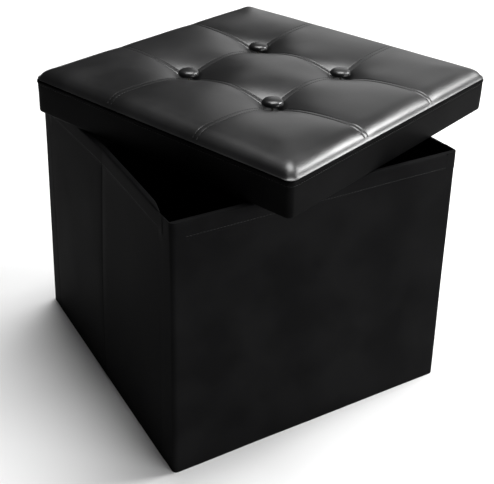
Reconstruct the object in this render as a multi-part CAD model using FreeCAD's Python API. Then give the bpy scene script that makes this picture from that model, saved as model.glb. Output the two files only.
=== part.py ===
import FreeCAD, Part
import math
import os

# Folding storage ottoman: a box of six hinged wall panels on a base board, and a tufted
# lid that lies askew on the box's rim. Millimetres. The origin is on the floor at the
# centre of the box's footprint, +X to the right, +Y to the rear, +Z up. The side walls
# (left at -X, right at +X) fold inward about leather hinges, and the front wall at -Y
# then comes back to the rear wall at +Y. The front and rear walls lean in a little.

# Driving dimensions of the box
BOX_WIDTH = 380.0
BOX_DEPTH = 396.0
RIM_HEIGHT = 322.0
END_WALL_LEAN = 9.0
SKIN = 1.0
WALL_BOARD = 5.0
WALL_FOOT = 5.0
HEM_CLEARANCE = 0.2
WALL_GAP = 7.0
FOLD_GAP = 1.0
HINGE_LAND = 1.3
HINGE_SLIT = 0.3
RIM_BAND = 21.0

# Driving dimensions of the base
BASE_CLOTH = 0.8
BASE_BOARD = 3.0
BASE_FELT = 0.7
BASE_INSET = 3.0
BASE_FELT_INSET = 5.0

# Driving dimensions of the lid
LID_SIDE = 400.0
LID_YAW = 19.4
LID_CENTRE_X = 46.0
LID_CENTRE_Y = 19.0
LID_CLEARANCE = 0.3
SKIRT_HEIGHT = 42.0
SKIRT_BOARD = 2.6
SKIRT_TURN_IN = 16.0
LID_BOARD = 4.0
LID_BOARD_BELOW_SEAM = 8.0
CUSHION_CROWN = 12.0
CUSHION_SKIN = 1.2
CUSHION_EDGE = 7.0
LINING_DROP = 3.2
LINING = 0.8
KNOT_TO_LINING = 0.2

# Driving dimensions of the tufting
BUTTON_SPACING = LID_SIDE / 3.0
BUTTON_RADIUS = 13.0
BUTTON_RISE = 5.5
BUTTON_BACK = 1.5
BUTTON_BACK_INSET = 1.0
BUTTON_DEPTH = 8.5
POCKET_CLEARANCE = 0.4
TIE_RADIUS = 1.2
TIE_CLEARANCE = 0.4
WASHER_RADIUS = 9.0
WASHER = 1.4
KNOT_RADIUS = 2.0

# Driving dimensions of the lid's staples
STAPLE_WIDTH = 9.0
STAPLE_WIRE = 0.7
STAPLES_PER_SIDE = 6
STAPLE_INSET = 22.0

# How far a cutting shape runs past what it cuts, and how exactly heights are compared
CUT_PAST = 1.0
SAME_HEIGHT = 0.01

# Sizes that follow
HALF_WIDTH = BOX_WIDTH / 2
HALF_DEPTH = BOX_DEPTH / 2
WALL = 2 * SKIN + WALL_BOARD
HINGE_Y = HALF_DEPTH - END_WALL_LEAN - 2 * WALL - WALL_GAP
LEAN_ANGLE = math.degrees(math.atan(END_WALL_LEAN / RIM_HEIGHT))
PANEL_END = HINGE_Y - HINGE_LAND
PANEL_START = FOLD_GAP / 2
LID_BOTTOM = RIM_HEIGHT + LID_CLEARANCE
LID_HALF = LID_SIDE / 2
LID_BOARD_TOP = SKIRT_HEIGHT - LID_BOARD_BELOW_SEAM + LID_BOARD
LID_BOARD_BOTTOM = LID_BOARD_TOP - LID_BOARD
CUSHION_TOP = SKIRT_HEIGHT + CUSHION_CROWN
BUTTON_BASE = CUSHION_TOP - BUTTON_DEPTH
LINING_TOP = LID_BOARD_BOTTOM - LINING_DROP


def block(x_low, x_high, y_low, y_high, z_low, z_high):
    corner = FreeCAD.Vector(x_low, y_low, z_low)
    return Part.makeBox(x_high - x_low, y_high - y_low, z_high - z_low, corner)


def cylinder(radius, x, y, z_low, z_high):
    return Part.makeCylinder(radius, z_high - z_low, FreeCAD.Vector(x, y, z_low))


def square_ring(outer_half, inner_half, z_low, z_high):
    outer = block(-outer_half, outer_half, -outer_half, outer_half, z_low, z_high)
    z_under = z_low - CUT_PAST
    z_over = z_high + CUT_PAST
    return outer.cut(block(-inner_half, inner_half, -inner_half, inner_half, z_under, z_over))


def mirrored_x(shape):
    return shape.mirror(FreeCAD.Vector(0, 0, 0), FreeCAD.Vector(1, 0, 0))


def mirrored_y(shape):
    return shape.mirror(FreeCAD.Vector(0, 0, 0), FreeCAD.Vector(0, 1, 0))


def export(name, shape):
    shape.exportStep("parts/" + name + ".step")


def base():
    """Board under the whole box, with a cloth below it and felt on the part inside."""
    half_x = HALF_WIDTH - BASE_INSET
    half_y = HALF_DEPTH - BASE_INSET
    board_top = BASE_CLOTH + BASE_BOARD
    felt_x = HALF_WIDTH - BASE_FELT_INSET
    felt_y = HALF_DEPTH - BASE_FELT_INSET
    return {
        "base_cloth": block(-half_x, half_x, -half_y, half_y, 0, BASE_CLOTH),
        "base_board": block(-half_x, half_x, -half_y, half_y, BASE_CLOTH, board_top),
        "base_felt": block(-felt_x, felt_x, -felt_y, felt_y, board_top, board_top + BASE_FELT),
    }


def rim_band(across_low, across_high, along_low, along_high, upright):
    """Leather folded over the top edge of a wall, down both its faces.

    upright is "x" for a wall whose thickness lies along X, or "y" along Y.
    """
    across = (across_low, across_high)
    along = (along_low, along_high)
    heights = (RIM_HEIGHT - RIM_BAND, RIM_HEIGHT)
    core_across = (across_low + SKIN, across_high - SKIN)
    core_along = (along_low - CUT_PAST, along_high + CUT_PAST)
    core_heights = (heights[0] - CUT_PAST, RIM_HEIGHT - SKIN)
    if upright == "x":
        return block(*across, *along, *heights).cut(block(*core_across, *core_along, *core_heights))
    return block(*along, *across, *heights).cut(block(*core_along, *core_across, *core_heights))


def side_half(name):
    """Left rear wall half: its outer face is at x = -HALF_WIDTH, and it runs from the
    middle fold at y = 0 back to the rear corner hinge."""
    outer = -HALF_WIDTH
    inner = outer + WALL
    ends = (PANEL_START, PANEL_END)
    z_band = RIM_HEIGHT - RIM_BAND
    board_top = RIM_HEIGHT - SKIN
    return {
        name + "_board": block(outer + SKIN, inner - SKIN, *ends, WALL_FOOT, board_top),
        name + "_cover": block(outer, outer + SKIN, *ends, WALL_FOOT, z_band),
        name + "_lining": block(inner - SKIN, inner, *ends, WALL_FOOT, z_band),
        name + "_rim_band": rim_band(outer, inner, *ends, "x"),
        name + "_hem": block(outer, outer + SKIN, *ends, 0, WALL_FOOT - HEM_CLEARANCE),
    }


def corner_skin(z_low, z_high):
    """Soft leather on the left side face, from the upright hinge line to the edge of the
    leaning rear wall."""
    points = [
        FreeCAD.Vector(-HALF_WIDTH, HINGE_Y + HINGE_SLIT, z_low),
        FreeCAD.Vector(-HALF_WIDTH, rear_face_y(z_low), z_low),
        FreeCAD.Vector(-HALF_WIDTH, rear_face_y(z_high), z_high),
        FreeCAD.Vector(-HALF_WIDTH, HINGE_Y + HINGE_SLIT, z_high),
    ]
    outline = Part.makePolygon(points + points[:1])
    return Part.Face(outline).extrude(FreeCAD.Vector(SKIN, 0, 0))


def rear_face_y(z):
    """Where the leaning rear wall's outer face is at a height."""
    return HALF_DEPTH - END_WALL_LEAN * z / RIM_HEIGHT


def leaning(shape):
    """Turns an upright rear wall part about the wall's outer lower edge."""
    leant = shape.copy()
    leant.rotate(FreeCAD.Vector(0, HALF_DEPTH, 0), FreeCAD.Vector(1, 0, 0), LEAN_ANGLE)
    return leant


def end_wall(name):
    """Rear wall, the full width of the box, with its outer face at y = HALF_DEPTH on the
    floor and END_WALL_LEAN further in at the rim. Its hem is upright."""
    outer = HALF_DEPTH
    inner = outer - WALL
    across = HALF_WIDTH - SKIN
    z_band = RIM_HEIGHT - RIM_BAND
    board_top = RIM_HEIGHT - SKIN
    board = block(-across, across, inner + SKIN, outer - SKIN, WALL_FOOT, board_top)
    cover = block(-across, across, outer - SKIN, outer, WALL_FOOT, z_band)
    lining = block(-across, across, inner, inner + SKIN, WALL_FOOT, z_band)
    hem = block(-across, across, outer - SKIN, outer, 0, WALL_FOOT - HEM_CLEARANCE)
    left_return = corner_skin(0, WALL_FOOT - HEM_CLEARANCE)
    return {
        name + "_board": leaning(board),
        name + "_cover": leaning(cover),
        name + "_lining": leaning(lining),
        name + "_rim_band": leaning(rim_band(inner, outer, -across, across, "y")),
        name + "_hem": hem.fuse(left_return).fuse(mirrored_x(left_return)).removeSplitter(),
    }


def box_walls():
    """All six wall panels: the rear and left rear ones, and their mirror images."""
    shapes = {}
    for name, shape in side_half("left_rear").items():
        front_name = name.replace("left_rear", "left_front")
        shapes[name] = shape
        shapes[front_name] = mirrored_y(shape)
        shapes[name.replace("left", "right")] = mirrored_x(shape)
        shapes[front_name.replace("left", "right")] = mirrored_x(mirrored_y(shape))
    for name, shape in end_wall("rear").items():
        shapes[name] = shape
        shapes[name.replace("rear", "front")] = mirrored_y(shape)
    strip = corner_skin(WALL_FOOT, RIM_HEIGHT)
    shapes["rear_left_corner"] = strip
    shapes["rear_right_corner"] = mirrored_x(strip)
    shapes["front_left_corner"] = mirrored_y(strip)
    shapes["front_right_corner"] = mirrored_x(mirrored_y(strip))
    return shapes


def button_places():
    half = BUTTON_SPACING / 2
    return [(x, y) for x in (-half, half) for y in (-half, half)]


def at_buttons(make):
    return [make(x, y) for x, y in button_places()]


def rounded_slab(half, z_low, z_high, radius):
    """Square slab whose upright corners and top edges are rounded."""
    slab = block(-half, half, -half, half, z_low, z_high)
    rounded = []
    for edge in slab.Edges:
        start = edge.Vertexes[0].Point
        end = edge.Vertexes[1].Point
        on_top = min(start.z, end.z) > z_high - SAME_HEIGHT
        upright = abs(start.z - end.z) > SAME_HEIGHT
        if on_top or upright:
            rounded.append(edge)
    return slab.makeFillet(radius, rounded)


def button(x, y):
    """Leather covered dome on a round metal back."""
    sphere_radius = (BUTTON_RADIUS ** 2 + BUTTON_RISE ** 2) / (2 * BUTTON_RISE)
    dome_base = BUTTON_BASE + BUTTON_BACK
    centre = FreeCAD.Vector(x, y, dome_base + BUTTON_RISE - sphere_radius)
    ball = Part.makeSphere(sphere_radius, centre)
    return ball.common(cylinder(BUTTON_RADIUS, x, y, dome_base, dome_base + BUTTON_RISE + CUT_PAST))


def button_back(x, y):
    radius = BUTTON_RADIUS - BUTTON_BACK_INSET
    return cylinder(radius, x, y, BUTTON_BASE, BUTTON_BASE + BUTTON_BACK)


def button_tie(x, y):
    """Twine from the button's back down through foam and board to the washer."""
    return cylinder(TIE_RADIUS, x, y, LID_BOARD_BOTTOM, BUTTON_BASE)


def button_washer(x, y):
    return cylinder(WASHER_RADIUS, x, y, LID_BOARD_BOTTOM - WASHER, LID_BOARD_BOTTOM)


def tie_knot(x, y):
    return cylinder(KNOT_RADIUS, x, y, LINING_TOP + KNOT_TO_LINING, LID_BOARD_BOTTOM - WASHER)


def button_pocket(x, y):
    wide = cylinder(BUTTON_RADIUS + POCKET_CLEARANCE, x, y, BUTTON_BASE, CUSHION_TOP + CUT_PAST)
    narrow = cylinder(TIE_RADIUS + TIE_CLEARANCE, x, y, 0, CUSHION_TOP)
    return wide.fuse(narrow)


def skirt_board(side):
    """One board of the lid's skirt. The front and rear ones run the whole width."""
    outer = LID_HALF - SKIN
    inner = outer - SKIRT_BOARD
    z_low = SKIN
    z_high = LID_BOARD_BOTTOM
    boards = {
        "front": (-outer, outer, -outer, -inner),
        "rear": (-outer, outer, inner, outer),
        "left": (-outer, -inner, -inner, inner),
        "right": (inner, outer, -inner, inner),
    }
    return block(*boards[side], z_low, z_high)


def skirt_cover():
    """Leather band round the skirt, turned in under its lower edge."""
    outer = square_ring(LID_HALF, LID_HALF - SKIN, 0, SKIRT_HEIGHT)
    board_inner = LID_HALF - SKIN - SKIRT_BOARD
    under = square_ring(LID_HALF - SKIN, board_inner, 0, SKIN)
    inside = square_ring(board_inner, board_inner - SKIN, 0, SKIRT_TURN_IN)
    return outer.fuse(under).fuse(inside).removeSplitter()


def staple(x, y, along_x):
    """Crown of a wire staple, flat against the underside of the lid board."""
    long = STAPLE_WIDTH / 2
    short = STAPLE_WIRE / 2
    z_low = LID_BOARD_BOTTOM - STAPLE_WIRE
    if along_x:
        return block(x - long, x + long, y - short, y + short, z_low, LID_BOARD_BOTTOM)
    return block(x - short, x + short, y - long, y + long, z_low, LID_BOARD_BOTTOM)


def staples():
    """A row of staples along each side of the lid board."""
    line = LID_HALF - STAPLE_INSET
    step = 2 * line / (STAPLES_PER_SIDE + 1)
    solids = []
    for number in range(1, STAPLES_PER_SIDE + 1):
        along = -line + number * step
        solids.append(staple(along, -line, True))
        solids.append(staple(along, line, True))
        solids.append(staple(-line, along, False))
        solids.append(staple(line, along, False))
    return Part.makeCompound(solids)


def lid():
    """Lid parts, centred on the lid's own middle with its lower edge at z = 0."""
    board_half = LID_HALF - SKIN
    board = block(-board_half, board_half, -board_half, board_half, LID_BOARD_BOTTOM, LID_BOARD_TOP)
    low_foam = block(-board_half, board_half, -board_half, board_half, LID_BOARD_TOP, SKIRT_HEIGHT)
    foam_top = CUSHION_TOP - CUSHION_SKIN
    foam_half = LID_HALF - CUSHION_SKIN
    high_foam = rounded_slab(foam_half, SKIRT_HEIGHT, foam_top, CUSHION_EDGE - CUSHION_SKIN)
    cushion = rounded_slab(LID_HALF, SKIRT_HEIGHT, CUSHION_TOP, CUSHION_EDGE)
    foam = low_foam.fuse(high_foam)
    cover = cushion.cut(high_foam)
    for pocket in at_buttons(button_pocket):
        board = board.cut(pocket)
        foam = foam.cut(pocket)
        cover = cover.cut(pocket)
    lining_half = LID_HALF - SKIN - SKIRT_BOARD - SKIN
    side_outer = lining_half + SKIN
    lining_low = LINING_TOP - LINING
    shapes = {
        "lid_board": board,
        "lid_foam": foam.removeSplitter(),
        "lid_top_cover": cover,
        "lid_skirt_cover": skirt_cover(),
        "lid_lining": block(-lining_half, lining_half, -lining_half, lining_half,
                            lining_low, LINING_TOP),
        "lid_side_lining": square_ring(side_outer, lining_half, SKIRT_TURN_IN, LID_BOARD_BOTTOM),
        "tuft_buttons": Part.makeCompound(at_buttons(button)),
        "button_backs": Part.makeCompound(at_buttons(button_back)),
        "button_ties": Part.makeCompound(at_buttons(button_tie)),
        "button_washers": Part.makeCompound(at_buttons(button_washer)),
        "tie_knots": Part.makeCompound(at_buttons(tie_knot)),
        "lid_staples": staples(),
    }
    for side in ("front", "rear", "left", "right"):
        shapes["lid_skirt_board_" + side] = skirt_board(side)
    return shapes


def lid_on_rim(shape):
    """Turns a lid part about +Z and sets it down on the rim, where the lid lies."""
    placed = shape.copy()
    turn = FreeCAD.Rotation(FreeCAD.Vector(0, 0, 1), LID_YAW)
    at = FreeCAD.Vector(LID_CENTRE_X, LID_CENTRE_Y, LID_BOTTOM)
    placed.Placement = FreeCAD.Placement(at, turn).multiply(placed.Placement)
    return placed


def main():
    os.makedirs("parts", exist_ok=True)
    for name, shape in base().items():
        export(name, shape)
    for name, shape in box_walls().items():
        export(name, shape)
    for name, shape in lid().items():
        export(name, lid_on_rim(shape))


main()
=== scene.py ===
"""Looks of a folding storage ottoman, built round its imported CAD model.

Lengths are in metres in the CAD frame: the floor is z = 0, the front wall faces -Y, and the
lid lies askew on the rim. Every soft part is a new mesh that stands for its plain CAD solid.
"""

import math

import bmesh
import bpy
import numpy as np
from mathutils import Matrix, Vector, noise


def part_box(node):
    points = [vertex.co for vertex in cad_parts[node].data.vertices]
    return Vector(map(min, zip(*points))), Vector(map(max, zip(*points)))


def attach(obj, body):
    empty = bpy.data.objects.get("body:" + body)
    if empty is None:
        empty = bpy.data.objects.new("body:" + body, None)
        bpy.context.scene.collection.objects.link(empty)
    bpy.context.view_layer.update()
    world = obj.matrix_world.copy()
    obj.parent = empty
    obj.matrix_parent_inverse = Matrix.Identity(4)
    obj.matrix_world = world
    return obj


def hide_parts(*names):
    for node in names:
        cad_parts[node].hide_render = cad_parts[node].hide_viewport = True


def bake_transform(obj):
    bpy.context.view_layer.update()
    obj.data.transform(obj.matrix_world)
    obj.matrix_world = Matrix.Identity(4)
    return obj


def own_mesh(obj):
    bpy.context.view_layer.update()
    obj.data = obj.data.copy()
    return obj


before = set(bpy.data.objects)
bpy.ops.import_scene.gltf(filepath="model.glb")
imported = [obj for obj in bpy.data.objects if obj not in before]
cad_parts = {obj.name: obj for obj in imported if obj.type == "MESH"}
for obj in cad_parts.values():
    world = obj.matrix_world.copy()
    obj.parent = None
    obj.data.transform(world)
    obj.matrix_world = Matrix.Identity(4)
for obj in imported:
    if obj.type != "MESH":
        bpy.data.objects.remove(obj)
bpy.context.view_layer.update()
MM = 0.001

# Box sizes, read from the CAD nodes
HALF_WIDTH = -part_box("left_rear_cover")[0].x
HALF_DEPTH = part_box("rear_hem")[1].y
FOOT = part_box("left_rear_cover")[0].z
BAND_FOOT, RIM = (corner.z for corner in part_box("left_rear_rim_band"))
WALL = HALF_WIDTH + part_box("left_rear_rim_band")[1].x
PANEL_START, PANEL_END = (corner.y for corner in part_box("left_rear_cover"))
STRIP_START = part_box("rear_left_corner")[0].y
HINGE = (PANEL_END + STRIP_START) / 2
SKIN = 1.0 * MM

# How the soft walls stand: they lean in by this much at the rim, and the left one also folds
# in at its middle, from this height up. The reach sets how steeply: longer is less.
SIDE_LEAN = 6 * MM
END_LEAN = 9 * MM
LEFT_FOLD_START = 8 * MM
LEFT_FOLD_REACH = 2.50

# Ends of the side walls, at the corners: where they stop and how they thin out. Each stops
# CUT_BACK times its lean short of the fold line, so that it clears the corner when folded.
END_GAP = 0.6 * MM
CUT_BACK = 1.1
END_TAPER = 34 * MM
END_THINNING = 0.82

# Middle folds: half of the slit between two panels and between two hems
MIDDLE_INSET = 0.3 * MM
HEM_SLIT = 0.05 * MM

# Surface of the walls
CORNER_RADIUS = 6 * MM
STRIP_HOLLOW = 0.5 * MM
LEAN_REACH = 20 * MM
RIPPLE = 0.9 * MM
RIPPLE_FADE = 30 * MM
MOST_BULGE = 0.1 * MM
LINING_LAP = 1 * MM
HEM_STEP = 1.7 * MM

# Rim band: how far it stands out, its inner overlap, its stitches and corner wraps
BAND_PROUD = 0.25 * MM
BAND_OVERLAP = 0.2 * MM
STITCH_SUNK = 0.15 * MM
STITCH_ROW = BAND_FOOT + 3.2 * MM
STITCH_PITCH = 4 * MM
WRAP_PROUD = BAND_PROUD + 0.1 * MM
WRAP_THICK = 1.1 * MM
WRAP_LAP = 16 * MM

# Crease leathers: their depth, thickness and reach, and lap over a panel's end
CREASE_DEPTH = 0.12 * MM
CREASE_THICK = 0.65 * MM
CREASE_REACH = 2.5 * MM
CREASE_LAP = 1.2 * MM

# Longest side of faces round and up the walls, on small profiles, and along the rims
MESH_GAP = 14 * MM
WALL_STEP = 12 * MM
FINE_GAP = 6 * MM
RIM_GAP = 8 * MM

# One stitch of thread
THREAD_LENGTH = 2.8 * MM
THREAD_RADIUS = 0.34 * MM

# Lid sizes; heights on the lid are above its lower edge
LID_LOW, LID_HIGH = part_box("lid_skirt_cover")
LID_CENTRE = (LID_LOW + LID_HIGH) / 2
LID_FOOT = LID_LOW.z
LID_YAW = math.radians(19.4)
LID_HALF = (LID_HIGH.x - LID_LOW.x) / 2 / (math.cos(LID_YAW) + math.sin(LID_YAW))
SEAM_HEIGHT = LID_HIGH.z - LID_LOW.z
LID_BOARD_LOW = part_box("lid_board")[0].z - LID_FOOT
LID_BOARD_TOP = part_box("lid_board")[1].z - LID_FOOT
# Radii of its corners, in the order rear right, rear left, front left and front right
LID_CORNERS = (13 * MM, 13 * MM, 6.5 * MM, 13 * MM)
NEAR_CORNER = 2
SKIRT_CORNER = max(LID_CORNERS)
CUSHION_ROUNDER = 2 * MM
SKIRT_BOARD = 2.6 * MM
WELT = 5.6 * MM
TURN_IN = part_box("lid_side_lining")[0].z - LID_FOOT
TUFT = LID_HALF / 3
BUTTON_RADIUS = 13 * MM
BUTTON_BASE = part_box("tuft_buttons")[0].z - LID_FOOT
BUTTON_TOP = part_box("tuft_buttons")[1].z - LID_FOOT


# ---------------------------------------------------------------- small helpers

def clamp(value, low=0.0, high=1.0):
    return max(low, min(high, value))


def smooth(value):
    value = clamp(value)
    return value * value * (3 - 2 * value)


def spaced(start, end, gap):
    """Even values from start to end, about gap apart."""
    count = max(1, round(abs(end - start) / gap))
    return [start + (end - start) * i / count for i in range(count + 1)]


def rounded(points, radii, segments=5):
    """Closed outline through points, with an arc of the given radius at each corner."""
    outline = []
    for i, (point, radius) in enumerate(zip(points, radii)):
        corner = Vector(point)
        if radius <= 0:
            outline.append(corner)
            continue
        back = (Vector(points[i - 1]) - corner).normalized()
        ahead = (Vector(points[(i + 1) % len(points)]) - corner).normalized()
        half = back.angle(ahead) / 2
        centre = corner + (back + ahead).normalized() * radius / math.sin(half)
        first = corner + back * radius / math.tan(half) - centre
        last = corner + ahead * radius / math.tan(half) - centre
        turn = first.angle_signed(last)
        for k in range(segments + 1):
            angle = -turn * k / segments
            c, s = math.cos(angle), math.sin(angle)
            outline.append(centre + Vector((first.x * c - first.y * s, first.x * s + first.y * c)))
    return outline


def divided(outline, gap):
    """The closed outline with points added so that no side is longer than gap."""
    result = []
    for i, point in enumerate(outline):
        following = outline[(i + 1) % len(outline)]
        count = max(1, math.ceil((following - point).length / gap))
        result += [point.lerp(following, k / count) for k in range(count)]
    return result


def mesh_object(name, bm, material, sharp=38):
    """Object from a bmesh, smooth except at edges that turn more than sharp degrees."""
    bmesh.ops.recalc_face_normals(bm, faces=bm.faces)
    limit = math.radians(sharp)
    for face in bm.faces:
        face.smooth = True
    for edge in bm.edges:
        edge.smooth = len(edge.link_faces) == 2 and edge.calc_face_angle(0) < limit
    mesh = bpy.data.meshes.new(name)
    bm.to_mesh(mesh)
    bm.free()
    obj = bpy.data.objects.new(name, mesh)
    bpy.context.scene.collection.objects.link(obj)
    obj.data.materials.append(material)
    return obj


def prism(name, outline, steps, place, material, ring=False):
    """Solid with the closed outline repeated at every step. place(a, b, step) gives the
    point of outline point (a, b) there. A ring joins its last step to its first."""
    bm = bmesh.new()
    rings = [[bm.verts.new(place(a, b, step)) for a, b in outline] for step in steps]
    following = rings[1:] + rings[:1] if ring else rings[1:]
    for near, far in zip(rings, following):
        for i in range(len(outline)):
            j = (i + 1) % len(outline)
            bm.faces.new((near[i], near[j], far[j], far[i]))
    if not ring:
        caps = [bm.faces.new(rings[0]), bm.faces.new(rings[-1])]
        bmesh.ops.triangulate(bm, faces=caps)
    return mesh_object(name, bm, material)


def fill_grid(bm, grid):
    """Faces between the rows of a grid of points."""
    for near, far in zip(grid, grid[1:]):
        for j in range(len(near) - 1):
            bm.faces.new((near[j], near[j + 1], far[j + 1], far[j]))


def border(last):
    """Row and column of each point round the border of a square grid, in order."""
    rim = [(0, j) for j in range(last)] + [(i, last) for i in range(last)]
    rim += [(last, j) for j in range(last, 0, -1)] + [(i, 0) for i in range(last, 0, -1)]
    return rim


def stitches(name, spots):
    """Row of short threads. Each spot is (middle, direction, outward)."""
    bm = bmesh.new()
    sides, profile = 6, ((-0.5, 0.15), (-0.36, 0.85), (0.0, 1.0), (0.36, 0.85), (0.5, 0.15))
    for middle, direction, outward in spots:
        along = direction.normalized()
        side = along.cross(outward).normalized()
        up = side.cross(along)
        rings = []
        for share, size in profile:
            centre = middle + along * share * THREAD_LENGTH
            ring = []
            for k in range(sides):
                angle = math.tau * k / sides
                offset = side * math.cos(angle) + up * math.sin(angle)
                ring.append(bm.verts.new(centre + offset * THREAD_RADIUS * size))
            rings.append(ring)
        for near, far in zip(rings, rings[1:]):
            for k in range(sides):
                m = (k + 1) % sides
                bm.faces.new((near[k], near[m], far[m], far[k]))
        bm.faces.new(rings[0])
        bm.faces.new(rings[-1])
    return mesh_object(name, bm, THREAD, sharp=80)


def stitch_spots(line, start, end, pitch, outward):
    """Spots of stitches along line(s), for s from start to end in metres."""
    spots = []
    for s in spaced(start + pitch / 2, end - pitch / 2, pitch):
        near, far = line(s - pitch / 4), line(s + pitch / 4)
        spots.append(((near + far) / 2, far - near, outward))
    return spots


def stand_for(piece, body, slot, *nodes):
    """The piece takes the place of CAD nodes and rides on their body."""
    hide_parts(*nodes)
    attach(piece, body)


# ---------------------------------------------------------------- materials

def new_material(name, colour, roughness, specular):
    material = bpy.data.materials.new(name)
    material.use_nodes = True
    shader = material.node_tree.nodes["Principled BSDF"]
    shader.inputs["Base Color"].default_value = (*colour, 1)
    shader.inputs["Roughness"].default_value = roughness
    shader.inputs["Specular IOR Level"].default_value = specular
    return material, shader


def node(material, kind, **inputs):
    made = material.node_tree.nodes.new(kind)
    for key, value in inputs.items():
        made.inputs[key.replace("_", " ")].default_value = value
    return made


def object_coordinates(material, stretch=(1, 1, 1)):
    coordinates = material.node_tree.nodes.new("ShaderNodeTexCoord")
    mapping = material.node_tree.nodes.new("ShaderNodeMapping")
    mapping.inputs["Scale"].default_value = stretch
    material.node_tree.links.new(coordinates.outputs["Object"], mapping.inputs["Vector"])
    return mapping.outputs["Vector"]


def mix_colours(material, shader, colour, other, factor):
    """Base colour that goes from colour to other as the factor socket goes from 0 to 1."""
    links = material.node_tree.links
    tint = material.node_tree.nodes.new("ShaderNodeMix")
    tint.data_type = "RGBA"
    tint.inputs["A"].default_value = (*colour, 1)
    tint.inputs["B"].default_value = (*other, 1)
    links.new(factor, tint.inputs["Factor"])
    links.new(tint.outputs["Result"], shader.inputs["Base Color"])


def leather(name, colour, worn, roughness, specular, grain=0.25):
    """Coated faux leather: fine pebbles and pores, and cloudy patches, lighter and duller."""
    material, shader = new_material(name, colour, roughness, specular)
    links = material.node_tree.links
    where = object_coordinates(material)
    pebble = node(material, "ShaderNodeTexVoronoi", Scale=900.0)
    pores = node(material, "ShaderNodeTexNoise", Scale=2200.0, Detail=3.0)
    cloud = node(material, "ShaderNodeTexNoise", Scale=14.0, Detail=4.0)
    for texture in (pebble, pores, cloud):
        links.new(where, texture.inputs["Vector"])
    patches = node(material, "ShaderNodeMapRange", From_Min=0.36, From_Max=0.64)
    links.new(cloud.outputs["Fac"], patches.inputs["Value"])
    mix_colours(material, shader, colour, worn, patches.outputs["Result"])
    spread = node(material, "ShaderNodeMapRange", From_Min=0.3, From_Max=0.7,
                  To_Min=roughness - 0.05, To_Max=roughness + 0.05)
    links.new(cloud.outputs["Fac"], spread.inputs["Value"])
    links.new(spread.outputs["Result"], shader.inputs["Roughness"])
    coarse = node(material, "ShaderNodeBump", Strength=grain, Distance=0.12 * MM)
    fine = node(material, "ShaderNodeBump", Strength=grain * 0.6, Distance=0.05 * MM)
    links.new(pebble.outputs["Distance"], coarse.inputs["Height"])
    links.new(pores.outputs["Fac"], fine.inputs["Height"])
    links.new(coarse.outputs["Normal"], fine.inputs["Normal"])
    links.new(fine.outputs["Normal"], shader.inputs["Normal"])
    return material


def woven(name, colour, light, scale, roughness=0.9):
    """Plain woven or felted cloth: crossing threads as bump, with light and dark flecks."""
    material, shader = new_material(name, colour, roughness, 0.15)
    links = material.node_tree.links
    where = object_coordinates(material)
    threads = []
    for direction in ("X", "Y", "Z"):
        wave = node(material, "ShaderNodeTexWave", Scale=scale, Distortion=1.2, Detail=1.0)
        wave.bands_direction = direction
        links.new(where, wave.inputs["Vector"])
        threads.append(wave.outputs["Fac"])
    height = threads[0]
    for other in threads[1:]:
        add = material.node_tree.nodes.new("ShaderNodeMath")
        add.operation = "MULTIPLY_ADD"
        add.inputs[1].default_value = 0.5
        links.new(height, add.inputs[0])
        links.new(other, add.inputs[2])
        height = add.outputs["Value"]
    fleck = node(material, "ShaderNodeTexNoise", Scale=scale * 3.0, Detail=2.0)
    links.new(where, fleck.inputs["Vector"])
    mix_colours(material, shader, colour, light, fleck.outputs["Fac"])
    bump = node(material, "ShaderNodeBump", Strength=0.4, Distance=0.15 * MM)
    links.new(height, bump.inputs["Height"])
    links.new(bump.outputs["Normal"], shader.inputs["Normal"])
    return material


def speckled(name, colour, light, scale, roughness, metallic=0.0, stretch=(1, 1, 1)):
    """Hardboard, thread, twine, steel or the floor: noise in colour and bump."""
    material, shader = new_material(name, colour, roughness, 0.4)
    shader.inputs["Metallic"].default_value = metallic
    links = material.node_tree.links
    grain = node(material, "ShaderNodeTexNoise", Scale=scale, Detail=5.0)
    links.new(object_coordinates(material, stretch), grain.inputs["Vector"])
    mix_colours(material, shader, colour, light, grain.outputs["Fac"])
    bump = node(material, "ShaderNodeBump", Strength=0.3, Distance=0.2 * MM)
    links.new(grain.outputs["Fac"], bump.inputs["Height"])
    links.new(bump.outputs["Normal"], shader.inputs["Normal"])
    return material


# Colours are linear red, green and blue
WALL_LEATHER = leather("wall_leather", (0.0043, 0.0043, 0.0045), (0.0071, 0.0071, 0.0073), 0.58, 0.008)
LID_LEATHER = leather("lid_leather", (0.005, 0.005, 0.0052), (0.008, 0.008, 0.0083), 0.34, 0.5)
# Darker copy of the lid leather for the lid's skirt and welt: painted shade on the lid's sides.
SHADED_SKIRT_LEATHER = leather("shaded_skirt_leather", (0.0025, 0.0025, 0.0026), (0.0045, 0.0045, 0.0046), 0.50, 0.01)
THREAD = speckled("thread", (0.004, 0.004, 0.004), (0.012, 0.012, 0.012), 1500, 0.7)
LINING = woven("lining_cloth", (0.028, 0.028, 0.029), (0.045, 0.045, 0.047), 320)
FELT = woven("felt", (0.012, 0.012, 0.013), (0.022, 0.022, 0.024), 140)
HARDBOARD = speckled("hardboard", (0.20, 0.12, 0.06), (0.34, 0.22, 0.12), 260, 0.8)
STEEL = speckled("steel", (0.42, 0.42, 0.43), (0.60, 0.60, 0.62), 700, 0.35, 1.0, (1, 1, 12))
TWINE = speckled("twine", (0.55, 0.50, 0.40), (0.75, 0.70, 0.60), 1800, 0.9)
FLOOR = speckled("floor", (0.80, 0.80, 0.80), (0.84, 0.84, 0.84), 3, 0.55)


# ---------------------------------------------------------------- walls

def mid_fold(height):
    """How far in the left wall stands at its middle, at a height."""
    share = clamp((height - LEFT_FOLD_START) / LEFT_FOLD_REACH)
    return smooth(share) * HINGE * math.pi / 2


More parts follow.
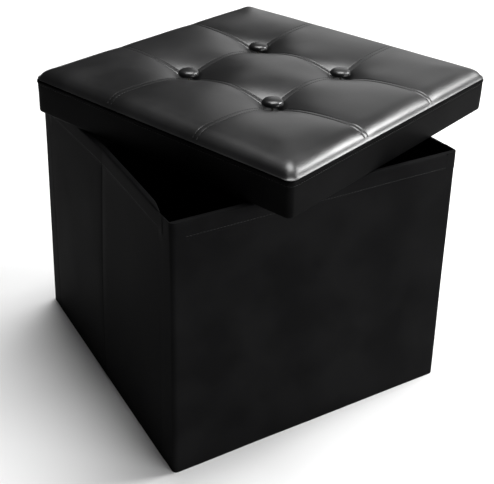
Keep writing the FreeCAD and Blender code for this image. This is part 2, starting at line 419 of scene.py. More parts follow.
def side_place(side):
    """Puts a point of a side wall: depth in from the outer face, y, and height. The wall
    thins out towards its fold lines at the corners, and it ends short of them by as much
    as it leans, so that it clears the corner leather when it's folded."""
    def place(depth, y, z):
        lean = SIDE_LEAN * z / RIM
        y *= 1 - CUT_BACK * lean / PANEL_END
        if side < 0:
            middle = 1 - abs(y) / HINGE
            lean += (mid_fold(z) - lean) * middle
        depth *= 1 - END_THINNING * smooth((abs(y) - PANEL_END + END_TAPER) / END_TAPER)
        edge = smooth((PANEL_END - abs(y)) / RIPPLE_FADE)
        bulge = edge * min(RIPPLE * noise.noise(Vector((side * 3, y * 9, z * 7))), MOST_BULGE)
        return Vector((side * (HALF_WIDTH - depth - lean + bulge), y, z))
    return place


def end_place(side):
    """Puts a point of the front or rear wall: x, distance from the middle, and height."""
    def place(x, distance, z):
        share = clamp((distance - STRIP_START) / LEAN_REACH)
        lean = END_LEAN * z / RIM * share
        bulge = RIPPLE * share * noise.noise(Vector((x * 8, side * 5, z * 6)))
        narrow = 1 - SIDE_LEAN * z / RIM / HALF_WIDTH
        if abs(x) > HALF_WIDTH - 2 * MM:
            span = clamp((distance - STRIP_START) / (HALF_DEPTH - STRIP_START))
            hollow = STRIP_HOLLOW * math.sin(math.pi * span) * smooth(4 * (1 - z / RIM))
            narrow -= hollow / HALF_WIDTH
        return Vector((x * narrow, side * (distance - lean + bulge), z))
    return place


def heights(low, high):
    return spaced(low, high, WALL_STEP)


def ride_with_fold(piece, half):
    """A right half's piece rides on that half's body; a left half's piece is only baked where it
    stands.
    """
    neighbour = {"left_rear_half": "root", "left_front_half": "front_wall"}.get(half)
    if neighbour is None:
        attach(piece, half)
        return
    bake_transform(piece)


def rim_profile():
    """Closed outline, depth by height, of the band folded over the rim."""
    inner = WALL + BAND_OVERLAP
    edge = [(-BAND_PROUD, BAND_FOOT), (-BAND_PROUD, RIM), (inner, RIM), (inner, BAND_FOOT),
            (WALL - SKIN, BAND_FOOT), (WALL - SKIN, RIM - SKIN), (SKIN, RIM - SKIN), (SKIN, BAND_FOOT)]
    radii = (0.4 * MM, 2.6 * MM, 2.6 * MM, 0.4 * MM, 0, 1.6 * MM, 1.6 * MM, 0)
    return divided(rounded(edge, radii), FINE_GAP)


def plain(*points):
    """Closed outline with square corners, divided for bending."""
    return divided([Vector(point) for point in points], MESH_GAP)


def side_half(side, end, name):
    """One folding half of a side wall: its layers, rim band and hem."""
    place = side_place(side)
    low, high = sorted((end * (PANEL_START - MIDDLE_INSET), end * (PANEL_END - END_GAP)))
    side_layers(name, place, low, high)
    side_rim(name, side, place, low, high)
    side_hem(name, end, place)


def add_to_half(piece, name, node_name):
    """A layer of a half wall stands for its CAD node; on the right it rides on its half's body, on the
    left it is only baked in place.
    """
    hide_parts(name + "_" + node_name)
    ride_with_fold(piece, name + "_half")


def side_layers(name, place, low, high):
    """Cover with rolled ends, board, and lining of a half wall from y = low to y = high."""
    wrap = WALL - SKIN
    roll = 1.8 * MM
    inner = roll - SKIN
    shell = [(wrap, low), (0, low), (0, high), (wrap, high),
             (wrap, high - SKIN), (SKIN, high - SKIN), (SKIN, low + SKIN), (wrap, low + SKIN)]
    outline = divided(rounded(shell, (0, roll, roll, 0, 0, inner, inner, 0)), MESH_GAP)
    cover = prism(name + "_leather", outline, heights(FOOT, RIM - 1.2 * MM), place, WALL_LEATHER)
    add_to_half(cover, name, "cover")

    inset = 2 * MM
    start, end = low + inset, high - inset
    board = plain((SKIN, start), (wrap, start), (wrap, end), (SKIN, end))
    panel = prism(name + "_panel", board, heights(FOOT, RIM - inset), place, HARDBOARD)
    add_to_half(panel, name, "board")

    edge = 0.6 * MM
    cloth = rounded([(wrap, low), (WALL, low), (WALL, high), (wrap, high)], (0, edge, edge, 0))
    lining = prism(name + "_inside_cloth", divided(cloth, MESH_GAP),
                   heights(FOOT, BAND_FOOT + LINING_LAP), place, LINING)
    add_to_half(lining, name, "lining")


def side_rim(name, side, place, low, high):
    """Band folded over the rim of a half wall, with its row of stitches."""
    def along(depth, z, y):
        return place(depth, y, z)

    def row(y):
        return place(STITCH_SUNK - BAND_PROUD, y, STITCH_ROW)

    band = prism(name + "_rim_leather", rim_profile(), spaced(low, high, RIM_GAP), along, WALL_LEATHER)
    add_to_half(band, name, "rim_band")
    spots = stitch_spots(row, low + MM, high - MM, STITCH_PITCH, Vector((side, 0, 0)))
    ride_with_fold(stitches(name + "_rim_stitches", spots), name + "_half")


def side_hem(name, end, place):
    """Soft edge under a half wall's board."""
    near, far = sorted((end * HEM_SLIT, end * (PANEL_END - END_GAP)))
    foot = rounded([(0, near), (0, far), (SKIN, far), (SKIN, near)], (0.02 * MM,) * 4)
    hem = prism(name + "_hem_leather", divided(foot, MESH_GAP), spaced(0, FOOT, HEM_STEP),
                place, WALL_LEATHER)
    stand_for(hem, name + "_half", "wall_leather", name + "_hem")
    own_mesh(hem)


def corner_curve(x):
    """How far out the outer face of an end wall is at x, where it rounds into the corner."""
    beyond = clamp(abs(x) - (HALF_WIDTH - CORNER_RADIUS), 0.0, CORNER_RADIUS)
    return HALF_DEPTH - CORNER_RADIUS + math.sqrt(CORNER_RADIUS ** 2 - beyond ** 2)


def strip_outline(proud, thick):
    """Closed outline, x by distance, of a skin round the end wall and both its corners."""
    outer_x, inner_x = HALF_WIDTH + proud, HALF_WIDTH + proud - thick
    outer_y, inner_y = HALF_DEPTH + proud, HALF_DEPTH + proud - thick
    start = STRIP_START - 0.4 * MM
    points = [(-outer_x, start), (-outer_x, outer_y), (outer_x, outer_y),
              (outer_x, start), (inner_x, start), (inner_x, inner_y),
              (-inner_x, inner_y), (-inner_x, start)]
    outer_r = CORNER_RADIUS + proud
    inner_r = outer_r - thick
    ends = 0.4 * MM
    return rounded(points, (ends, outer_r, outer_r, ends, 0, inner_r, inner_r, 0), segments=8)


def end_wall(side, name, body):
    """Front or rear wall, with the soft corner strips that reach round to the fold lines."""
    place = end_place(side)
    skin = divided(strip_outline(0, SKIN), MESH_GAP)
    end_layers(name, body, place, skin)
    end_rim(name, body, place)
    corner_bands(name, body, place)
    end_stitches(name, body, place, side)

    hem = prism(name + "_hem_leather", skin, spaced(0, FOOT, HEM_STEP), place, WALL_LEATHER)
    stand_for(hem, body, "wall_leather", name + "_hem")
    if body != "root":
        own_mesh(hem)


def end_layers(name, body, place, skin):
    """Cover that reaches round both corners, board, and lining of an end wall."""
    high = BAND_FOOT + LINING_LAP
    cover = prism(name + "_wall_leather", skin, heights(FOOT, high), place, WALL_LEATHER)
    stand_for(cover, body, "wall_leather",
              name + "_cover", name + "_left_corner", name + "_right_corner")

    inner, face = HALF_DEPTH - WALL + SKIN, HALF_DEPTH - SKIN
    end = HALF_WIDTH - CORNER_RADIUS
    board = plain((-end, inner), (end, inner), (end, face), (-end, face))
    panel = prism(name + "_wall_panel", board, heights(FOOT, RIM - 1.5 * MM), place, HARDBOARD)
    stand_for(panel, body, "hardboard", name + "_board")

    wide = HALF_WIDTH - 1.5 * MM
    cloth = plain((-wide, inner - SKIN), (wide, inner - SKIN), (wide, inner), (-wide, inner))
    lining = prism(name + "_inside_cloth", cloth, heights(FOOT, high), place, LINING)
    stand_for(lining, body, "lining_cloth", name + "_lining")


def end_rim(name, body, place):
    """Band folded over the rim of an end wall, up to where the corners' wraps take over."""
    def along(depth, z, x):
        inward = clamp(depth / WALL)
        return place(x, HALF_DEPTH - depth + (corner_curve(x) - HALF_DEPTH) * (1 - inward), z)

    reach = HALF_WIDTH - SKIN
    turn = HALF_WIDTH - CORNER_RADIUS
    stations = spaced(-reach, reach, RIM_GAP)
    stations += [s * (turn + CORNER_RADIUS * k) for s in (-1, 1) for k in (0.3, 0.5, 0.65)]
    band = prism(name + "_rim_leather", rim_profile(), sorted(stations), along, WALL_LEATHER)
    stand_for(band, body, "wall_leather", name + "_rim_band")


def end_stitches(name, body, place, side):
    def row(x):
        return place(x, HALF_DEPTH + BAND_PROUD - STITCH_SUNK, STITCH_ROW)

    lap = HALF_WIDTH - WRAP_LAP
    spots = stitch_spots(row, -lap, lap, STITCH_PITCH, Vector((0, side, 0)))
    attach(stitches(name + "_rim_stitches", spots), body)


def outside(point):
    """True for a point on the outer side of the corner band's outline."""
    middle = CORNER_RADIUS + WRAP_PROUD - WRAP_THICK / 2
    x = abs(point.x) - HALF_WIDTH + CORNER_RADIUS
    y = point.y - HALF_DEPTH + CORNER_RADIUS
    if x > 0 and y > 0:
        return math.hypot(x, y) > middle
    return x > middle or y > middle


def corner_bands(name, body, place):
    """The rim band's ends, wrapped round the wall's two corners to the fold lines."""
    wraps = strip_outline(WRAP_PROUD, WRAP_THICK)
    lap = HALF_WIDTH - WRAP_LAP
    near = HALF_DEPTH + WRAP_PROUD
    for sign, label in ((-1, "left"), (1, "right")):
        half = [p for p in wraps if p.x * sign > 0]
        outer = sorted((p for p in half if outside(p)), key=lambda p: -p.y + abs(p.x))
        inner = sorted((p for p in half if not outside(p)), key=lambda p: p.y - abs(p.x))
        first, last = Vector((sign * lap, near)), Vector((sign * lap, near - WRAP_THICK))
        ring = [first] + outer + inner + [last]
        piece = prism(name + "_" + label + "_corner_band", divided(ring, RIM_GAP),
                      spaced(BAND_FOOT, RIM, 5 * MM), place, WALL_LEATHER)
        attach(piece, body)


def crease_strip(name, where, foot):
    """Thin strip of leather from a height up to the rim. where(depth, share, z) puts a
    point, and share goes from 0 to 1 across the strip."""
    inner = CREASE_DEPTH + CREASE_THICK
    sides = [(CREASE_DEPTH, 0), (CREASE_DEPTH, 1), (inner, 1), (inner, 0)]
    parts = 8
    outline = [Vector(a).lerp(Vector(b), k / parts)
               for a, b in zip(sides, sides[1:] + sides[:1]) for k in range(parts)]

    def place(depth, share, z):
        return where(depth - (BAND_PROUD if z >= BAND_FOOT else 0), share, z)

    lifts = heights(foot, BAND_FOOT - 0.5 * MM) + heights(BAND_FOOT, RIM - 0.4 * MM)
    piece = prism(name, outline, lifts, place, WALL_LEATHER)
    return piece


def corner_crease(name, side, end, wall):
    """It hangs on the end wall, over the fold line at the corner."""
    def where(depth, share, z):
        lean = SIDE_LEAN * z / RIM
        near = PANEL_END - END_GAP - CREASE_LAP - CUT_BACK * lean
        far = STRIP_START + MM
        return Vector((side * (HALF_WIDTH - depth - lean), end * (near + (far - near) * share), z))

    piece = crease_strip(name, where, 0)
    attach(piece, wall)
    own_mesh(piece)


def middle_crease(name, side):
    """Strip across the middle fold, just under the skin of the two halves."""
    on_wall = side_place(side)

    def where(depth, share, z):
        return on_wall(depth + 0.2 * MM, (2 * share - 1) * CREASE_REACH, z)

    return crease_strip(name, where, FOOT)


def creases():
    """Leather that closes each fold line between two neighbouring pieces."""
    corner_crease("left_rear_crease", -1, 1, "root")
    corner_crease("left_front_crease", -1, -1, "front_wall")
    corner_crease("right_rear_crease", 1, 1, "root")
    corner_crease("right_front_crease", 1, -1, "front_wall")

    left = middle_crease("left_middle_crease", -1)
    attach(left, "left_rear_half")
    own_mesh(left)
    right = middle_crease("right_middle_crease", 1)
    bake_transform(right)


def walls():
    for side, side_name in ((-1, "left"), (1, "right")):
        for end, end_name in ((1, "rear"), (-1, "front")):
            side_half(side, end, side_name + "_" + end_name)
    end_wall(1, "rear", "root")
    end_wall(-1, "front", "front_wall")
    creases()


def base_cloths():
    """Felt inside on the base board, and the cloth glued under the board."""
    cloths = (("base_felt", "base_felt_pad", FELT, "felt"),
              ("base_cloth", "base_under_cloth", LINING, "lining_cloth"))
    for node_name, new_name, material, slot in cloths:
        low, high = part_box(node_name)
        square = [(low.x, low.y), (high.x, low.y), (high.x, high.y), (low.x, high.y)]
        outline = divided(rounded(square, (CORNER_RADIUS,) * 4), MESH_GAP)
        piece = prism(new_name, outline, (low.z, high.z), lambda x, y, z: Vector((x, y, z)), material)
        stand_for(piece, "root", slot, node_name)


# ---------------------------------------------------------------- lid

def on_lid(x, y, z):
    """Frame point of a point given on the lid, from its middle and its lower edge."""
    c, s = math.cos(LID_YAW), math.sin(LID_YAW)
    return Vector((LID_CENTRE.x + c * x - s * y, LID_CENTRE.y + s * x + c * y, LID_FOOT + z))


def lid_direction(way):
    return on_lid(way.x, way.y, 0) - on_lid(0, 0, 0)


def square_path(inset=0.0, gap=RIM_GAP, segments=8):
    """(point, outward direction) pairs round the lid, or round a line inset from its side."""
    path = []
    half = LID_HALF - inset
    for quarter in range(4):
        turn = Matrix.Rotation(quarter * math.pi / 2, 2)
        before, radius = LID_CORNERS[quarter - 1] - inset, LID_CORNERS[quarter] - inset
        straight = half - radius
        for y in spaced(before - half, straight, gap)[:-1]:
            path.append((turn @ Vector((half, y)), turn @ Vector((1, 0))))
        for k in range(segments):
            angle = math.pi / 2 * k / segments
            outward = Vector((math.cos(angle), math.sin(angle)))
            path.append((turn @ (Vector((straight, straight)) + outward * radius), turn @ outward))
    return path


def skirt():
    """Leather round the lid: a rolled welt under the seam, and a turned-in lower edge."""
    path = square_path()
    inner = SKIN + SKIRT_BOARD
    ledge = 1.6 * MM
    top = SEAM_HEIGHT - WELT
    points = [(ledge, top), (0.1 * MM, top), (0.0, 0.0), (inner + SKIN, 0.0),
              (inner + SKIN, TURN_IN), (inner, TURN_IN), (inner, SKIN), (SKIN, SKIN), (ledge, top - MM)]
    radii = (0, 0.6 * MM, 1.8 * MM, 1.8 * MM, 0.3 * MM, 0.3 * MM, 0.4 * MM, 0.4 * MM, 0)
    outline = divided(rounded(points, radii), 5 * MM)

    def place(depth, z, step):
        point, outward = path[step]
        middle = math.sin(math.pi * clamp(z / SEAM_HEIGHT))
        soft = 0.9 * MM * middle * noise.noise(Vector((point.x * 16, point.y * 16, z * 22)))
        spot = point - outward * (depth - soft)
        return on_lid(spot.x, spot.y, z)

    # The skirt and the welt take the darker leather: painted shade on the lid's sides.
    piece = prism("lid_skirt_leather", outline, range(len(path)), place, SHADED_SKIRT_LEATHER, ring=True)
    stand_for(piece, "lid", "lid_leather", "lid_skirt_cover")

    high, back, roll = SEAM_HEIGHT - 0.4 * MM, 3.2 * MM, 0.6 * MM
    points = [(back, high), (ledge, high - 0.1 * MM), (-roll, high - 2.4 * MM),
              (-roll, top + 1.4 * MM), (0.7 * MM, top), (back, top)]
    radii = (0, 0.9 * MM, 1.6 * MM, 0.9 * MM, 0.4 * MM, 0)
    welt = prism("lid_welt", divided(rounded(points, radii), 3 * MM), range(len(path)), place,
                 SHADED_SKIRT_LEATHER, ring=True)
    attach(welt, "lid")
    topstitch(top - 0.3 * MM)


def topstitch(height):
    """Thread all round the lid, just under the welt."""
    around = square_path(gap=4 * MM, segments=3)
    spots = []
    for (near, out_near), (far, out_far) in zip(around, around[1:] + around[:1]):
        outward = (out_near + out_far).normalized()
        spot = (near + far) / 2 + outward * 0.05 * MM
        spots.append((on_lid(spot.x, spot.y, height), lid_direction(far - near),
                      lid_direction(outward)))
    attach(stitches("lid_topstitch", spots), "lid")


def lid_boards():
    """Skirt boards and lid board with corners that stay inside the rounded leather."""
    end = LID_HALF - SKIRT_CORNER
    slack = 0.3 * MM
    outer, inner = LID_HALF - SKIN - slack, LID_HALF - SKIN - SKIRT_BOARD + slack
    for quarter, side in enumerate(("right", "rear", "left", "front")):
        turn = Matrix.Rotation(quarter * math.pi / 2, 2)
        corners = ((inner, -end), (outer, -end), (outer, end), (inner, end))
        outline = [turn @ Vector(corner) for corner in corners]
        piece = prism("lid_" + side + "_skirt_board", outline, (SKIN, LID_BOARD_LOW - 0.2 * MM),
                      on_lid, HARDBOARD)
        stand_for(piece, "lid", "hardboard", "lid_skirt_board_" + side)
    half = LID_HALF - SKIN - MM
    square = rounded([(-half, -half), (half, -half), (half, half), (-half, half)], (SKIRT_CORNER,) * 4)
    board = prism("lid_top_board", square, (LID_BOARD_LOW, LID_BOARD_TOP), on_lid, HARDBOARD)
    stand_for(board, "lid", "hardboard", "lid_board")


def underside_cloth(low, high):
    """Cloth under the lid board, between two heights, that sags a little in its middle."""
    half = LID_HALF - SKIN - SKIRT_BOARD - 0.6 * MM
    rows = spaced(-half, half, 9 * MM)
    bm = bmesh.new()

    def sag(x, y):
        share = math.cos(math.pi * x / 2 / half) * math.cos(math.pi * y / 2 / half)
        return -0.6 * MM * share + 0.4 * MM * share * noise.noise(Vector((x * 20, y * 20, 0)))

    layers = []
    for z in (low, high):
        layers.append([[bm.verts.new(on_lid(x, y, z + sag(x, y))) for x in rows] for y in rows])
    for grid in layers:
        fill_grid(bm, grid)
    under, over = layers
    rim = border(len(rows) - 1)
    for (i, j), (m, n) in zip(rim, rim[1:] + rim[:1]):
        bm.faces.new((under[i][j], under[m][n], over[m][n], over[i][j]))
    cloth = mesh_object("lid_underside_cloth", bm, LINING)
    stand_for(cloth, "lid", "lining_cloth", "lid_lining")


def lid_lining():
    """Cloth under the lid board, and cloth round the inside of the skirt."""
    low, high = (corner.z - LID_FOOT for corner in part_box("lid_lining"))
    underside_cloth(low, high)
    path = square_path(SKIN + SKIRT_BOARD)
    foot, thick = TURN_IN - MM, 0.8 * MM
    band = rounded([(0, foot), (0, low), (thick, low), (thick, foot)], (0.2 * MM,) * 4)

    def place(depth, z, step):
        point, outward = path[step]
        spot = point - outward * depth
        return on_lid(spot.x, spot.y, z)

    side = prism("lid_side_cloth", divided(band, FINE_GAP), range(len(path)), place, LINING, ring=True)
    stand_for(side, "lid", "lining_cloth", "lid_side_lining")


# ---------------------------------------------------------------- cushion

# Rounded edge of the cover, from the seam inwards, and its crown in the middle
EDGE_WIDTH = 25 * MM
EDGE_DROP = 12.0 * MM
EDGE_RADIUS = (EDGE_WIDTH ** 2 + EDGE_DROP ** 2) / 2 / EDGE_DROP
CORNER_POWER = 4
CROWN = 1.5 * MM

# How far a tuft pulls the cover in, and how wide; the same for the valleys along the seams
TUFT_PULL = 11.5 * MM
TUFT_SPREAD = 36 * MM
VALLEY = 1.0 * MM
VALLEY_AT_TUFT = 3.4 * MM
VALLEY_REACH = 58 * MM
VALLEY_WIDTH = 13 * MM
CROSS_VALLEY = 0.45

# Filling by cloth simulation: its grid, what is held, and the limit on how far it swells
PAD_GRID = 5 * MM
EDGE_HELD = 4 * MM
TUFT_HELD = 14 * MM
SEAM_HOLD = 0.35
LAST_FRAME = 20
PUFF_CAP = 5 * MM
PUFF_SMOOTHING = 6

# Seams: two grooves either side of a ridge, faint on the seams that run the other way
SEAM_GAP = 3.0 * MM
GROOVE_DEPTH = 0.55 * MM
GROOVE_WIDTH = 0.75 * MM
RIDGE_HEIGHT = 0.16 * MM
RIDGE_WIDTH = 1.9 * MM
CROSS_SEAM = 0.25
SEAM_PITCH = 4.2 * MM
SEAM_FADE = 6 * MM
BUTTON_CLEAR = 11 * MM
BUTTON_FADE = 5 * MM
DENT = 0.25 * MM

# Pocket that each button sits in
POCKET_DEPTH = 2.2 * MM
POCKET_START = 10 * MM
POCKET_SLOPE = 8 * MM
TUFTS = [(x, y) for x in (-TUFT, TUFT) for y in (-TUFT, TUFT)]


def shoulder_height(inside_x, inside_y):
    """Share of the edge's rise at distances in from the two nearest sides of the seam: an
    arc, level at its inner end, that rounds off the corner too."""
    left_x = EDGE_WIDTH * (1 - clamp(inside_x / EDGE_WIDTH))
    left_y = EDGE_WIDTH * (1 - clamp(inside_y / EDGE_WIDTH))
    left = min(EDGE_WIDTH, (left_x ** CORNER_POWER + left_y ** CORNER_POWER) ** (1 / CORNER_POWER))
    return 1 - (EDGE_RADIUS - math.sqrt(EDGE_RADIUS ** 2 - left ** 2)) / EDGE_DROP


def cut_shape(x, y):
    """Height of the sewn cover before it's filled: edges rounded down, tufts pulled in,
    and a soft valley along each seam."""
    shoulder = shoulder_height(LID_HALF - abs(x), LID_HALF - abs(y))
    crown = math.cos(math.pi * x / 2 / LID_HALF) * math.cos(math.pi * y / 2 / LID_HALF)
    height = SEAM_HEIGHT + 0.3 * MM + EDGE_DROP * shoulder + CROWN * crown
    for tuft_x, tuft_y in TUFTS:
        away = math.hypot(x - tuft_x, y - tuft_y)
        height -= TUFT_PULL * math.exp(-(away / TUFT_SPREAD) ** 1.3)
    for across, along, pull in ((x, y, 1.0), (y, x, CROSS_VALLEY)):
        for seam in (-TUFT, TUFT):
            near = math.exp(-((abs(along) - TUFT) / VALLEY_REACH) ** 2)
            valley = pull * (VALLEY + VALLEY_AT_TUFT * near)
            height -= valley * shoulder * math.exp(-(abs(across - seam) / VALLEY_WIDTH) ** 1.5)
    return height


def rounded_corner(x, y):
    """Moves a point of the square cover to the cover with rounded corners."""
    radius = LID_CORNERS[NEAR_CORNER if x < 0 and y < 0 else 0] + CUSHION_ROUNDER
    start = LID_HALF - radius
    over_x, over_y = abs(x) - start, abs(y) - start
    if over_x <= 0 or over_y <= 0:
        return x, y
    a, b = over_x / radius, over_y / radius
    new_x = start + radius * a * math.sqrt(1 - b * b / 2)
    new_y = start + radius * b * math.sqrt(1 - a * a / 2)
    return math.copysign(new_x, x), math.copysign(new_y, y)


def simulation_mesh(line, flat):
    """Mesh of the unfilled cover. The edge and the tufts are held, and the seams loosely."""
    count = len(line)
    bm = bmesh.new()
    verts = [[bm.verts.new((x, y, flat[j][i])) for i, x in enumerate(line)]
             for j, y in enumerate(line)]
    fill_grid(bm, verts)
    pad = mesh_object("pad_simulation", bm, LID_LEATHER)
    held = pad.vertex_groups.new(name="held")
    for j, y in enumerate(line):
        for i, x in enumerate(line):
            tuft = min(math.hypot(x - a, y - b) for a, b in TUFTS)
            seam = min(abs(abs(x) - TUFT), abs(abs(y) - TUFT))
            edge = LID_HALF - max(abs(x), abs(y))
            if edge < EDGE_HELD or tuft < TUFT_HELD:
                held.add([j * count + i], 1.0, "REPLACE")
            elif seam < PAD_GRID * 0.6:
                held.add([j * count + i], SEAM_HOLD, "REPLACE")
    return pad


def filled_heights(pad):
    """Heights of the pad's points after pressure from inside has swelled it."""
    cloth = pad.modifiers.new("Cloth", "CLOTH")
    settings = cloth.settings
    settings.quality = 6
    settings.mass = 0.35
    settings.tension_stiffness = 25
    settings.compression_stiffness = 25
    settings.shear_stiffness = 12
    settings.bending_stiffness = 2.5
    settings.use_pressure = True
    settings.uniform_pressure_force = 4.0
    settings.vertex_group_mass = "held"
    settings.effector_weights.gravity = 0
    cloth.collision_settings.use_collision = False
    scene = bpy.context.scene
    for number in range(1, LAST_FRAME + 1):
        scene.frame_set(number)
    filled = pad.evaluated_get(bpy.context.evaluated_depsgraph_get())
    raised = np.array([v.co.z for v in filled.data.vertices])
    scene.frame_set(1)
    return raised


def puffed_grid():
    """Heights of the cover on an even grid, after a cloth simulation has filled it."""
    line = spaced(-LID_HALF, LID_HALF, PAD_GRID)
    flat = np.array([[cut_shape(x, y) for x in line] for y in line])
    pad = simulation_mesh(line, flat)
    raised = filled_heights(pad).reshape(len(line), len(line))
    bpy.data.objects.remove(pad)
    puff = np.clip(raised - flat, -PUFF_CAP, PUFF_CAP)
    for _ in range(PUFF_SMOOTHING):
        wide = np.pad(puff, 1, mode="edge")
        near = wide[:-2, 1:-1] + wide[2:, 1:-1] + wide[1:-1, :-2] + wide[1:-1, 2:]
        puff = (puff + near / 4) / 2
    return line, flat + puff


def between(line, grid, x, y):
    """Height at a point between the grid's own points, curved smoothly through them."""
    step = line[1] - line[0]
    last = len(line) - 1

    def weights(share):
        return (-0.5 * share + share ** 2 - 0.5 * share ** 3, 1 - 2.5 * share ** 2 + 1.5 * share ** 3,
                0.5 * share + 2 * share ** 2 - 1.5 * share ** 3, -0.5 * share ** 2 + 0.5 * share ** 3)

    place_x, place_y = clamp((x - line[0]) / step, 0, last), clamp((y - line[0]) / step, 0, last)
    i, j = min(int(place_x), last - 1), min(int(place_y), last - 1)
    wx, wy = weights(place_x - i), weights(place_y - j)
    total = 0.0
    for m in range(4):
        row = grid[min(max(j + m - 1, 0), last)]
        total += wy[m] * sum(wx[n] * row[min(max(i + n - 1, 0), last)] for n in range(4))
    return total


def seam_relief(across, strength):
    """Two stitched grooves with a plump ridge between them."""
    groove = sum(math.exp(-((across - s * SEAM_GAP) / GROOVE_WIDTH) ** 2) for s in (-1, 1))
    ridge = math.exp(-(across / RIDGE_WIDTH) ** 2)
    return strength * (RIDGE_HEIGHT * ridge - GROOVE_DEPTH * groove)


def cushion_height(line, grid, x, y):
    """Height of the finished cover: the filled shape with seams, pockets and small dents."""
    height = between(line, grid, x, y)
    inside = min(LID_HALF - abs(x), LID_HALF - abs(y))
    fade = smooth((inside - MM) / SEAM_FADE)
    away = min(math.hypot(x - a, y - b) for a, b in TUFTS)
    clear = smooth((away - BUTTON_CLEAR) / BUTTON_FADE)
    for across, strength in ((abs(x) - TUFT, 1.0), (abs(y) - TUFT, CROSS_SEAM)):
        height += seam_relief(across, strength) * fade * clear
    height -= POCKET_DEPTH * (1 - smooth((away - POCKET_START) / POCKET_SLOPE))
    height += DENT * fade * noise.noise(Vector((x * 22, y * 22, 4)))
    return height


def cushion_line():
    """Grid values across the cover: fine at the seams, tufts and edges, coarser between."""
    at_seam = (0, 0.9, 1.7, 2.2, 2.6, 3.0, 3.4, 3.8, 4.4, 5.4, 6.6, 8, 9.5, 11, 12.5, 14, 15.5,
               17.5, 20, 23)
    at_edge = (22, 19, 16.5, 14, 12, 10, 8, 6.5, 5, 4, 3, 2, 1.2, 0.6, 0.2, 0)
    values = {0.0}
    for offset in at_seam:
        values |= {TUFT + offset * MM, TUFT - offset * MM}
    values |= set(spaced(5 * MM, TUFT - 27 * MM, 5 * MM))
    values |= set(spaced(TUFT + 27 * MM, LID_HALF - 26 * MM, 5 * MM))
    values |= {LID_HALF - offset * MM for offset in at_edge}
    positive = sorted(v for v in values if v >= 0)
    return [-v for v in reversed(positive) if v > 0] + positive


def cushion():
    """Padded, tufted top of the lid, closed underneath against the lid board."""
    line, grid = puffed_grid()
    values = cushion_line()
    bm = bmesh.new()
    rows = []
    for y in values:
        row = []
        for x in values:
            height = cushion_height(line, grid, x, y)
            new_x, new_y = rounded_corner(x, y)
            row.append(bm.verts.new(on_lid(new_x, new_y, height)))
        rows.append(row)
    fill_grid(bm, rows)
    rim = border(len(values) - 1)
    loops = [[rows[j][i] for j, i in rim]]
    for inset, z in ((0.5 * MM, SEAM_HEIGHT - 0.5 * MM), (1.8 * MM, SEAM_HEIGHT - 0.9 * MM),
                     (1.8 * MM, LID_BOARD_TOP + 0.1 * MM)):
        shrink = 1 - inset / LID_HALF
        loop = []
        for j, i in rim:
            x, y = rounded_corner(values[i], values[j])
            loop.append(bm.verts.new(on_lid(x * shrink, y * shrink, z)))
        loops.append(loop)
    for upper, lower in zip(loops, loops[1:]):
        for k in range(len(rim)):
            m = (k + 1) % len(rim)
            bm.faces.new((upper[k], upper[m], lower[m], lower[k]))
    bmesh.ops.triangulate(bm, faces=[bm.faces.new(loops[-1])])
    pad = mesh_object("lid_cushion", bm, LID_LEATHER, sharp=70)
    stand_for(pad, "lid", "lid_leather", "lid_top_cover", "lid_foam")
    seam_stitches(line, grid)


def seam_stitches(line, grid):
    """Thread in the two grooves of every seam of the cushion."""
    spots = []
    end = LID_HALF - 4 * MM

    def surface(x, y):
        return on_lid(x, y, cushion_height(line, grid, x, y) + 0.05 * MM)

    grooves = [seam + groove for seam in (-TUFT, TUFT) for groove in (-SEAM_GAP, SEAM_GAP)]
    for across in grooves:
        for along in spaced(-end, end, SEAM_PITCH):
            if abs(abs(along) - TUFT) < TUFT_HELD:
                continue
            near, far = along - SEAM_PITCH / 4, along + SEAM_PITCH / 4
            for first, last in (((across, near), (across, far)), ((near, across), (far, across))):
                start, finish = surface(*first), surface(*last)
                spots.append(((start + finish) / 2, finish - start, Vector((0, 0, 1))))
    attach(stitches("cushion_stitches", spots), "lid")


def buttons():
    """Leather-covered domes with a rolled rim, a little uneven from one to the next."""
    bm = bmesh.new()
    rise = BUTTON_TOP - BUTTON_BASE
    dome = ((0.28, 0.98), (0.5, 0.92), (0.68, 0.82), (0.8, 0.7), (0.9, 0.52), (0.97, 0.28))
    profile = [(share, rise * up) for share, up in dome]
    profile += [(1.0, -0.2 * MM), (0.985, -1.2 * MM), (0.9, -1.8 * MM)]
    sides, pleats = 40, 9
    for number, (x, y) in enumerate(TUFTS):
        rings = []
        for share, z in profile:
            ring = []
            for k in range(sides):
                angle = math.tau * k / sides
                pleat = 1 + 0.012 * math.sin(pleats * angle + number) * smooth((share - 0.6) / 0.4)
                radius = share * BUTTON_RADIUS * pleat
                spot = (x + radius * math.cos(angle), y + radius * math.sin(angle))
                ring.append(bm.verts.new(on_lid(*spot, BUTTON_BASE + z)))
            rings.append(ring)
        top = bm.verts.new(on_lid(x, y, BUTTON_BASE + rise))
        for k in range(sides):
            m = (k + 1) % sides
            bm.faces.new((top, rings[0][k], rings[0][m]))
            for near, far in zip(rings, rings[1:]):
                bm.faces.new((near[k], far[k], far[m], near[m]))
        bm.faces.new(rings[-1])
    piece = mesh_object("tuft_button_domes", bm, LID_LEATHER, sharp=80)
    stand_for(piece, "lid", "lid_leather", "tuft_buttons")


# ---------------------------------------------------------------- stage

def cad_materials():
    """Materials of the CAD nodes that stay as they are."""
    by_node = {"base_board": HARDBOARD, "button_backs": STEEL, "button_washers": STEEL,
               "lid_staples": STEEL, "button_ties": TWINE, "tie_knots": TWINE}
    for name, material in by_node.items():
        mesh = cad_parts[name].data
        mesh.materials.clear()
        mesh.materials.append(material)


def floor():
    bpy.ops.mesh.primitive_plane_add(size=40)
    plane = bpy.context.object
    plane.name = "floor"
    plane.data.materials.append(FLOOR)


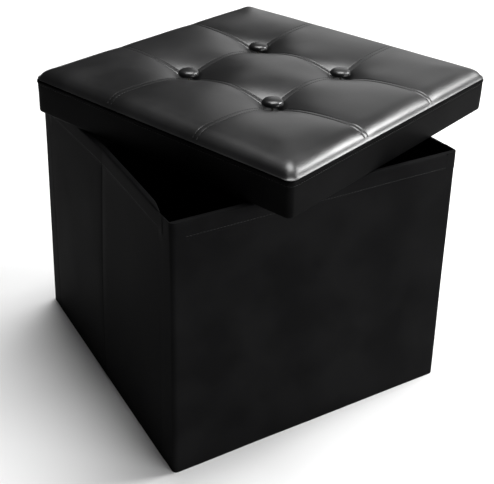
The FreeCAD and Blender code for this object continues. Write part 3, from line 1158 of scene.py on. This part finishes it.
def softbox(name, target, azimuth, elevation, distance, size, power):
    """Rectangular lamp that faces target, in degrees, metres and watts. At azimuth 0 it stands
    in front of the front wall, at -Y, and at 90 to the right, at +X."""
    a, e = math.radians(azimuth), math.radians(elevation)
    back = Vector((math.sin(a) * math.cos(e), -math.cos(a) * math.cos(e), math.sin(e)))
    lamp = bpy.data.lights.new(name, "AREA")
    lamp.shape = "RECTANGLE"
    lamp.size, lamp.size_y = size
    lamp.energy = power
    obj = bpy.data.objects.new(name, lamp)
    obj.location = Vector(target) + back * distance
    obj.rotation_euler = (-back).to_track_quat("-Z", "Y").to_euler()
    bpy.context.scene.collection.objects.link(obj)


def lights():
    """Soft lamps: a key from the right, low fills behind and in front, and one overhead."""
    world = bpy.data.worlds.new("studio")
    world.use_nodes = True
    background = world.node_tree.nodes["Background"]
    background.inputs["Color"].default_value = (1, 1, 1, 1)
    background.inputs["Strength"].default_value = 0.04
    bpy.context.scene.world = world
    middle = (0, 0, 0.3)
    softbox("right_softbox", middle, azimuth=80, elevation=37, distance=2.6,
            size=(1.0, 0.75), power=70)
    softbox("back_softbox", middle, azimuth=127, elevation=15, distance=3.2,
            size=(2.6, 1.6), power=13)
    softbox("front_softbox", middle, azimuth=25, elevation=7, distance=3.0,
            size=(2.0, 0.5), power=62)
    to_the_rear_right = (1.0, 0.7, 0.3)
    softbox("overhead_softbox", to_the_rear_right, azimuth=0, elevation=90, distance=4.2,
            size=(2.4, 2.4), power=260)


def camera():
    """Camera at the viewing angle of the reference, looking down at the lid's near corner."""
    lens = bpy.data.cameras.new("camera")
    eye = bpy.data.objects.new("camera", lens)
    bpy.context.scene.collection.objects.link(eye)
    yaw, pitch, roll = math.radians(31.35), math.radians(28.97), math.radians(1.96)
    level = math.cos(pitch)
    ahead = Vector((math.sin(yaw) * level, math.cos(yaw) * level, -math.sin(pitch)))
    eye.rotation_mode = "QUATERNION"
    upright = ahead.to_track_quat("-Z", "Y")
    eye.rotation_quaternion = upright @ Matrix.Rotation(roll, 3, "Z").to_quaternion()
    eye.location = (-0.5193, -0.8966, 0.7792)
    lens.sensor_width = 36
    lens.lens = 67.2
    lens.shift_x = -0.0169
    lens.shift_y = -0.0761
    lens.clip_end = 100
    bpy.context.scene.camera = eye


walls()
base_cloths()
skirt()
lid_boards()
lid_lining()
cushion()
buttons()
cad_materials()
floor()
lights()
camera()
bpy.context.scene.view_settings.view_transform = "Standard"
